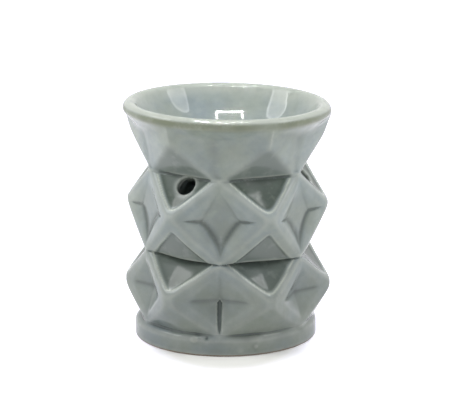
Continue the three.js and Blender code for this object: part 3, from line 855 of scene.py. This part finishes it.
def new_mesh(name, points, faces, normals=None):
    """A smooth mesh of quads, from points in millimetres."""
    mesh = bpy.data.meshes.new(name)
    faces = np.asarray(faces, np.int32)
    mesh.vertices.add(len(points))
    mesh.vertices.foreach_set("co", (np.asarray(points) * MM).astype(np.float32).ravel())
    mesh.loops.add(faces.size)
    mesh.loops.foreach_set("vertex_index", faces.ravel())
    mesh.polygons.add(len(faces))
    mesh.polygons.foreach_set("loop_start", np.arange(len(faces), dtype=np.int32) * faces.shape[1])
    mesh.update(calc_edges=True)
    mesh.validate()
    mesh.shade_smooth()
    if normals is not None:
        mesh.normals_split_custom_set_from_vertices(normals.astype(np.float32))
    return placed(name, mesh)


MARKS = ("pool_and_shade", "shade", "line", "lip", "crest", "under_rim_shade", "bare")


def clay_piece(name, node, field, marks, cell, reach, bottom, top):
    low = np.array([-reach, -reach, bottom - GRID_MARGIN])
    high = np.array([reach, reach, top + GRID_MARGIN])
    points, quads = surface_net(field, low, high, cell)
    normals = gradient(field, points, NORMAL_REACH)
    normals /= np.linalg.norm(normals, axis=1, keepdims=True)
    values = {mark: np.zeros(len(points)) for mark in MARKS}
    values.update(marks(points))
    values["fine_bend"] = curvature(field, points, FINE_REACH)
    values["broad_bend"] = curvature(field, points, BROAD_REACH)
    points, normals = leaned(points, normals)
    piece = new_mesh(name, points, quads, normals)
    for mark, value in values.items():
        layer = piece.data.attributes.new(mark, "FLOAT", "POINT")
        layer.data.foreach_set("value", value.astype(np.float32))
    piece.data.materials.append(pottery_glaze)
    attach(piece, "burner")
    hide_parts(node)


# Node materials

class Tree:
    """Adds nodes to the node tree of a material, a lamp or the world, and joins them up."""

    def __init__(self, owner):
        owner.use_nodes = True
        self.owner = owner
        self.nodes = owner.node_tree.nodes
        self.links = owner.node_tree.links

    def add(self, kind, inputs=(), **settings):
        node = self.nodes.new("ShaderNode" + kind)
        for key, value in settings.items():
            setattr(node, key, value)
        for socket, value in dict(inputs).items():
            self.set(node, socket, value)
        return node

    def set(self, node, socket, value):
        if isinstance(value, bpy.types.NodeSocket):
            self.links.new(value, node.inputs[socket])
        else:
            node.inputs[socket].default_value = value

    def surface(self, **inputs):
        for key, value in inputs.items():
            self.set(self.nodes["Principled BSDF"], key.replace("_", " "), value)

    def mark(self, name):
        return self.add("Attribute", attribute_name=name).outputs["Fac"]

    def place(self):
        return self.add("TexCoord").outputs["Object"]

    def noise(self, scale, detail=2.0, roughness=0.5):
        inputs = {"Vector": self.place(), "Scale": scale, "Detail": detail, "Roughness": roughness}
        return self.add("TexNoise", inputs).outputs["Fac"]

    def span(self, value, low, high, to_low=0.0, to_high=1.0):
        """A value's range mapped smoothly to another."""
        inputs = {"Value": value, 1: low, 2: high, 3: to_low, 4: to_high}
        return self.add("MapRange", inputs, interpolation_type="SMOOTHSTEP").outputs["Result"]

    def math(self, operation, a, b=0.0):
        return self.add("Math", {0: a, 1: b}, operation=operation).outputs[0]

    def plus(self, a, b):
        return self.math("ADD", a, b)

    def minus(self, a, b):
        return self.math("SUBTRACT", a, b)

    def times(self, a, b):
        return self.math("MULTIPLY", a, b)

    def larger(self, a, b):
        return self.math("MAXIMUM", a, b)

    def mix(self, share, a, b):
        node = self.add("Mix", data_type="RGBA")
        self.set(node, "Factor", share)
        for socket, value in ((6, a), (7, b)):
            self.set(node, socket, value if isinstance(value, bpy.types.NodeSocket) else (*value, 1))
        return node.outputs[2]

    def bump(self, height, distance):
        return self.add("Bump", {"Height": height, "Distance": distance, "Strength": 1.0}).outputs["Normal"]


def glaze(name):
    """Grey-green glaze, dark where it gathers and pale where it runs thin over an edge, with painted shade in
    its creases, pockets and hollows, painted highlight on its edges, and painted shade towards the table.
    """
    tree = Tree(bpy.data.materials.new(name))
    mark, span, times = tree.mark, tree.span, tree.times
    drift = tree.noise(42.0, 4.0, 0.6)
    clouds = tree.noise(165.0, 3.0, 0.55)
    speckle = tree.noise(700.0, 2.0, 0.6)
    patches = span(tree.noise(38.0), 0.3, 0.6, 0.65, 1.0)
    away_from_pockets = tree.minus(1.0, tree.plus(mark("pool_and_shade"), mark("lip")))
    # Darker in sharp creases away from the pockets: gathered glaze and painted shade
    crease = times(span(mark("fine_bend"), -0.04, -0.6), away_from_pockets)
    height = tree.add("SeparateXYZ", {0: tree.place()}).outputs["Z"]
    colour = tree.mix(span(drift, 0.3, 0.7), (0.322, 0.380, 0.402), (0.385, 0.432, 0.390))
    for share, layer in (
        # Darker in broad hollows: gathered glaze and painted shade
        (span(mark("broad_bend"), 0.0, -0.4, 0.0, 0.6), (0.20, 0.235, 0.225)),
        (times(mark("shade"), 0.8), (0.18, 0.213, 0.205)),
        # Dark pockets: pooled glaze and painted shade
        (times(mark("pool_and_shade"), 0.92), (0.080, 0.108, 0.085)),
        # Sharp creases: gathered glaze and painted shade
        (times(crease, 0.75), (0.10, 0.125, 0.12)),
        # Dark lines at the stars' edges and the lower crease: gathered glaze and painted shade
        (times(mark("line"), 0.7), (0.12, 0.145, 0.14)),
        # Paler over ridges and sharp edges: thin glaze and painted highlight
        (span(mark("broad_bend"), 0.0, 0.35, 0.0, 0.45), (0.50, 0.545, 0.53)),
        (span(mark("fine_bend"), 0.05, 0.8, 0.0, 0.8), (0.56, 0.60, 0.56)),
        # Pale pocket edges: thin glaze and painted highlight
        (times(mark("lip"), 0.9), (0.78, 0.84, 0.75)),
        # Painted shade under the rim
        (times(mark("under_rim_shade"), patches), (0.235, 0.262, 0.185)),
        # Pale crest: thin glaze and painted light
        (times(mark("crest"), 0.85), (0.56, 0.60, 0.53)),
        (span(speckle, 0.62, 0.8, 0.0, 0.12), (0.16, 0.19, 0.17)),
        (span(clouds, 0.45, 0.7, 0.0, 0.2), (0.22, 0.26, 0.25)),
        (span(clouds, 0.5, 0.3, 0.0, 0.16), (0.56, 0.60, 0.56)),
        # Painted shade: darker towards the table
        (span(height, 0.0, 0.088, 0.36, 0.0), (0.03, 0.036, 0.040)),
        (mark("bare"), (0.26, 0.17, 0.10)),
    ):
        colour = tree.mix(share, colour, layer)
    rough = tree.plus(span(drift, 0.2, 0.8, 0.03, 0.06), times(mark("bare"), 0.7))
    rough = tree.plus(rough, times(mark("pool_and_shade"), 0.10))
    tree.surface(Base_Color=colour, IOR=1.5, Roughness=rough)
    tree.surface(Normal=tree.bump(tree.noise(150.0, 1.0), 0.00006))
    return tree.owner


def grained(name, noise, dark, pale, relief, rough=None, **inputs):
    """A material whose colour and bump follow one noise, and its roughness too where it has a range."""
    tree = Tree(bpy.data.materials.new(name))
    grain = tree.noise(*noise)
    tree.surface(Base_Color=tree.mix(grain, dark, pale), Normal=tree.bump(grain, relief), **inputs)
    if rough:
        tree.surface(Roughness=tree.span(grain, 0.3, 0.7, *rough))
    return tree.owner


def aluminium():
    dark, pale = (0.74, 0.75, 0.77), (0.86, 0.87, 0.88)
    return grained("tealight_aluminium", (260.0, 4.0, 0.6), dark, pale, 0.00008, (0.24, 0.4), Metallic=1.0)


def paraffin():
    dark, pale = (0.86, 0.84, 0.79), (0.93, 0.92, 0.88)
    return grained(
        "tealight_wax", (140.0, 3.0, 0.5), dark, pale, 0.0002, (0.32, 0.5),
        IOR=1.43, Subsurface_Weight=0.5, Subsurface_Scale=0.002,
    )


def cotton():
    dark, pale = (0.66, 0.62, 0.54), (0.86, 0.83, 0.76)
    return grained("wick_cotton", (2600.0, 3.0, 0.7), dark, pale, 0.0001, Roughness=0.85)


def tinplate():
    dark, pale = (0.58, 0.58, 0.56), (0.74, 0.74, 0.72)
    return grained("wick_tinplate", (420.0, 5.0, 0.7), dark, pale, 0.00005, (0.3, 0.48), Metallic=1.0)


pottery_glaze = glaze("grey_green_glaze")
clay_piece("glazed_body", "body_shell", body_field, body_marks, BODY_CELL, BODY_REACH, BASE_Z, NECK_Z)
clay_piece("glazed_bowl", "bowl", bowl_field, bowl_marks, BOWL_CELL, BODY_REACH, BOWL_SLIP_Z, RIM_Z)
clay_piece("glazed_foot", "foot_disc", foot_field, foot_marks, FOOT_CELL, FOOT_REACH, 0, FOOT_SLIP_Z)


# Tealight

def round_piece(name, node, outline, steps, shape, material):
    """Turns an outline of radius and height that starts and ends on the axis; shape moves its points."""
    rows = []
    for r, z in outline[1:-1]:
        angles = np.arange(steps) * 2 * math.pi / steps
        radius = shape(np.full(steps, r), angles, z)
        rows.append(np.stack([radius * np.cos(angles), radius * np.sin(angles), np.full(steps, z)], 1))
    points = np.concatenate([*rows, [[0, 0, outline[0][1]], [0, 0, outline[-1][1]]]])
    sides = [(i, (i + 1) % steps) for i in range(steps)]
    last = (len(rows) - 1) * steps
    faces = [(len(points) - 2, b, a) for a, b in sides]
    for start in range(0, last, steps):
        faces += [(start + a, start + b, start + b + steps, start + a + steps) for a, b in sides]
    faces += [(last + a, last + b, len(points) - 1) for a, b in sides]
    low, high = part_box(node)
    centre = np.array([(low.x + high.x) / 2, (low.y + high.y) / 2, low.z]) / MM
    mesh = bpy.data.meshes.new(name)
    mesh.from_pydata([tuple(point) for point in (points + centre) * MM], [], faces)
    mesh.validate()
    mesh.shade_smooth()
    mesh.set_sharp_from_angle(angle=math.radians(40))
    mesh.materials.append(material)
    piece = placed(name, mesh)
    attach(piece, "tealight")
    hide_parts(node)


def size_of(node):
    low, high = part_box(node)
    return (high.x - low.x) / 2 / MM, (high.z - low.z) / MM


def plain(radius, angles, z):
    return radius


FLUTES = 48
FLUTE_DEPTH = 0.24
FLUTE_END = 1.2
cup_radius, cup_height = size_of("tealight_cup")


def fluted(radius, angles, z):
    """Flutes pressed into the cup's side between its base and its lip."""
    on_side = (FLUTE_END < z < cup_height - FLUTE_END) * (radius > cup_radius - 2)
    return radius - FLUTE_DEPTH / 2 * (1 + np.cos(FLUTES * angles)) * on_side


cup_side = cup_radius - 0.5
round_piece(
    "fluted_cup", "tealight_cup",
    [(0, 0.0), (cup_side - 1.4, 0.0), (cup_side - 0.7, 0.15), (cup_side - 0.2, 0.7), (cup_side, 1.3)]
    + [(cup_side, z) for z in np.linspace(2, cup_height - 1.8, 6)]
    + [(cup_side, cup_height - 1.1), (cup_radius - 0.1, cup_height - 0.75), (cup_radius, cup_height - 0.45)]
    + [(cup_radius - 0.1, cup_height - 0.12), (cup_radius - 0.4, cup_height)]
    + [(cup_side - 0.35, cup_height - 0.2), (cup_side - 0.4, cup_height - 1.0), (cup_side - 0.4, 1.3)]
    + [(cup_side - 0.8, 0.55), (cup_side - 1.4, 0.4), (0, 0.4)],
    192, fluted, aluminium(),
)
wax_radius, wax_height = size_of("tealight_wax")
round_piece(
    "wax_fill", "tealight_wax",
    [(0, 0.0), (wax_radius - 0.4, 0.0), (wax_radius, 0.4), (wax_radius, wax_height)]
    + [(wax_radius * share, wax_height - 0.8 * (1 - share ** 6)) for share in (0.97, 0.9, 0.75, 0.5, 0.25)]
    + [(1.8, wax_height - 0.7), (1.2, wax_height - 0.3), (0.5, wax_height - 0.25), (0, wax_height - 0.25)],
    96, plain, paraffin(),
)
wick_radius, wick_height = size_of("tealight_wick")


def braided(radius, angles, z):
    return radius * (0.86 + 0.14 * np.cos(3 * angles + 2.2 * z))


round_piece(
    "braided_wick", "tealight_wick", [(0, 0.0)]
    + [(wick_radius, z) for z in np.linspace(0, wick_height - 0.25, 60)]
    + [(wick_radius * 0.6, wick_height), (0, wick_height)],
    36, braided, cotton(),
)
tab_radius, tab_height = size_of("wick_sustainer")
round_piece(
    "sustainer_tab", "wick_sustainer",
    [(0, 0.02), (tab_radius - 0.15, 0.0), (tab_radius, 0.1), (tab_radius - 0.1, 0.36), (2.2, 0.4), (1.6, 0.7)]
    + [(1.5, 1.2), (1.5, tab_height - 0.15), (1.4, tab_height), (1.15, tab_height), (1.1, 1.0), (0, 1.0)],
    48, plain, tinplate(),
)


# Floor, surroundings and lamps

def seen_rays(tree, *kinds):
    """One for rays of any of these kinds, nothing for others."""
    rays = tree.add("LightPath").outputs
    share = rays[f"Is {kinds[0]} Ray"]
    for kind in kinds[1:]:
        share = tree.larger(share, rays[f"Is {kind} Ray"])
    return share


def floor_material():
    """A pale floor that glows white to the camera, and less so near the foot: a painted shadow, laid where
    the real shadow lies.
    """
    tree = Tree(bpy.data.materials.new("pale_floor"))
    tree.surface(Base_Color=(0.80, 0.80, 0.74, 1), Roughness=0.9, Specular_IOR_Level=0.0)
    from_foot = tree.add(
        "VectorMath", {0: tree.place(), 1: SHADOW_SCALE, 2: SHADOW_SHIFT}, operation="MULTIPLY_ADD",
    ).outputs[0]
    from_foot = tree.add("VectorMath", {0: from_foot}, operation="LENGTH").outputs["Value"]
    strength = tree.times(
        tree.span(from_foot, *SHADOW_EDGE, SHADOW_GLOW, 1.0),
        tree.span(seen_rays(tree, "Glossy"), 0.0, 1.0, 1.0, FLOOR_IN_GLOSS),
    )
    # Bluish glow on a yellowish floor: white where lit, a painted lavender tint in the shadow
    glow = tree.add("Emission", {"Color": (0.80, 0.79, 1.0, 1), "Strength": strength}).outputs[0]
    dark = tree.add("Emission", {"Strength": 0.0}).outputs[0]
    share = seen_rays(tree, "Camera", "Glossy", "Transmission")
    chosen = tree.add("MixShader", {0: share, 1: dark, 2: glow}).outputs[0]
    total = tree.add("AddShader", {0: tree.nodes["Principled BSDF"].outputs[0], 1: chosen}).outputs[0]
    tree.set(tree.nodes["Material Output"], "Surface", total)
    return tree.owner


floor = new_mesh("floor", FLOOR_CORNERS, [(0, 1, 2, 3)])
floor.rotation_euler.z = math.radians(VIEW_TURN)
floor.data.materials.append(floor_material())

world = bpy.data.worlds.new("studio")
bpy.context.scene.world = world
sky = Tree(world)
upward = sky.add("SeparateXYZ", {0: sky.add("TexCoord").outputs["Generated"]}).outputs["Z"]
in_gloss = sky.span(upward, 0.1, 0.75, 0.9, 0.3)
strength = sky.span(seen_rays(sky, "Glossy"), 0.0, 1.0, AMBIENT, in_gloss)
sky.set(sky.nodes["Background"], "Color", (1, 1, 1, 1))
sky.set(sky.nodes["Background"], "Strength", sky.larger(strength, seen_rays(sky, "Camera", "Transmission")))


def dotted(tree, along, dots):
    """The strength of a row of bright dots."""
    ripple = tree.math("COSINE", tree.times(along, dots * 2 * math.pi))
    return tree.span(ripple, -0.3, 0.3, 1.8, 0.2)


def tapered(tree, across, up):
    """The strength of a box with a bright edge that narrows upwards to a round tip."""
    beside = tree.times(tree.math("ABSOLUTE", tree.minus(across, 0.5)), 2.0)
    above_middle = tree.larger(tree.times(tree.minus(up, 0.3), 1.43), 0.0)
    round_out = tree.plus(tree.math("POWER", beside, 1.5), tree.math("POWER", above_middle, 1.5))
    out = tree.larger(round_out, tree.minus(1.0, tree.times(up, 3.0)))
    return tree.times(tree.span(out, 0.72, 0.88, 0.75, 1.7), tree.span(out, 0.96, 1.0, 1.0, 0.0))


def lamp(name, place, target, width, height, radiance, dots=0, pointed=False):
    """A plain lamp, which gloss never shows, or a row of dots or a pointed box, which only gloss shows."""
    patterned = dots > 0 or pointed
    light = bpy.data.lights.new(name, "AREA")
    light.shape = "RECTANGLE"
    light.size, light.size_y = width * MM, height * MM
    light.energy = radiance * math.pi * light.size * light.size_y
    if patterned:
        tree = Tree(light)
        face = tree.add("SeparateXYZ", {0: tree.add("NewGeometry").outputs["Parametric"]}).outputs
        along = face["X" if width > height else "Y"]
        strength = dotted(tree, along, dots) if dots else tapered(tree, face["X"], face["Y"])
        tree.set(tree.nodes["Emission"], "Strength", strength)
    item = placed(name, light)
    item.visible_glossy, item.visible_diffuse = patterned, not patterned
    place, target = in_photo(*place), in_photo(*target)
    back = unit(place - target)
    across = unit(np.cross(in_photo(0, 1, 0) if abs(back[2]) > 0.99 else [0, 0, 1], back))
    item.matrix_world = stood(place, across, np.cross(back, across), back)


lamp("left_light", (-442, -71, 497), LAMP_TARGET, 300, 240, 6.8)
lamp("right_light", (442, -71, 497), LAMP_TARGET, 300, 240, 5.6)
lamp("top_light", (0, 0, 600), (0, 0, 0), 250, 250, 2.8)
lamp("left_box", (-430, 30, 541), LAMP_TARGET, 330, 178, 3.8, pointed=True)
lamp("right_box", (435, -26, 537), LAMP_TARGET, 250, 172, 3.4, pointed=True)
across, deep = FRAME_HALF_SIZE
for index, (x, y, width, height) in enumerate((
    (0, -deep, 2 * across, 2.5), (0, deep, 2 * across, 4),
    (-across, 0, 3, 2 * deep), (across, 0, 3, 2 * deep),
)):
    x, y = x + FRAME_CENTRE[0], y + FRAME_CENTRE[1]
    lamp(f"frame_{index}", (x, y, FRAME_HEIGHT), (x, y, 0), width, height, FRAME_RADIANCE, FRAME_DOTS)


# Camera

def swung(a, b, degrees):
    """Unit vector a turned towards b, which is square to it."""
    angle = math.radians(degrees)
    return a * math.cos(angle) + b * math.sin(angle)


rise = math.radians(CAMERA_RISE)
eye = np.array(CAMERA_TARGET) + CAMERA_DISTANCE * in_photo(0, -math.cos(rise), math.sin(rise))
ahead = unit(np.array(CAMERA_TARGET) - eye)
right = unit(np.cross(ahead, [0, 0, 1]))
ahead = swung(ahead, np.cross(right, ahead), CAMERA_PITCH)
right = swung(right, np.cross(right, ahead), CAMERA_ROLL)
over = np.cross(right, ahead)
ahead = swung(ahead, right, CAMERA_YAW)
right = np.cross(ahead, over)

camera = bpy.data.cameras.new("photo_camera")
camera.sensor_width = SENSOR_WIDTH
camera.lens = FOCAL_PIXELS / IMAGE_WIDTH * SENSOR_WIDTH
camera.clip_start = 0.05
camera.clip_end = 20.0
view = placed("photo_camera", camera)
view.matrix_world = stood(eye, right, over, -ahead)
bpy.context.scene.camera = view

bpy.context.scene.view_settings.view_transform = "Standard"
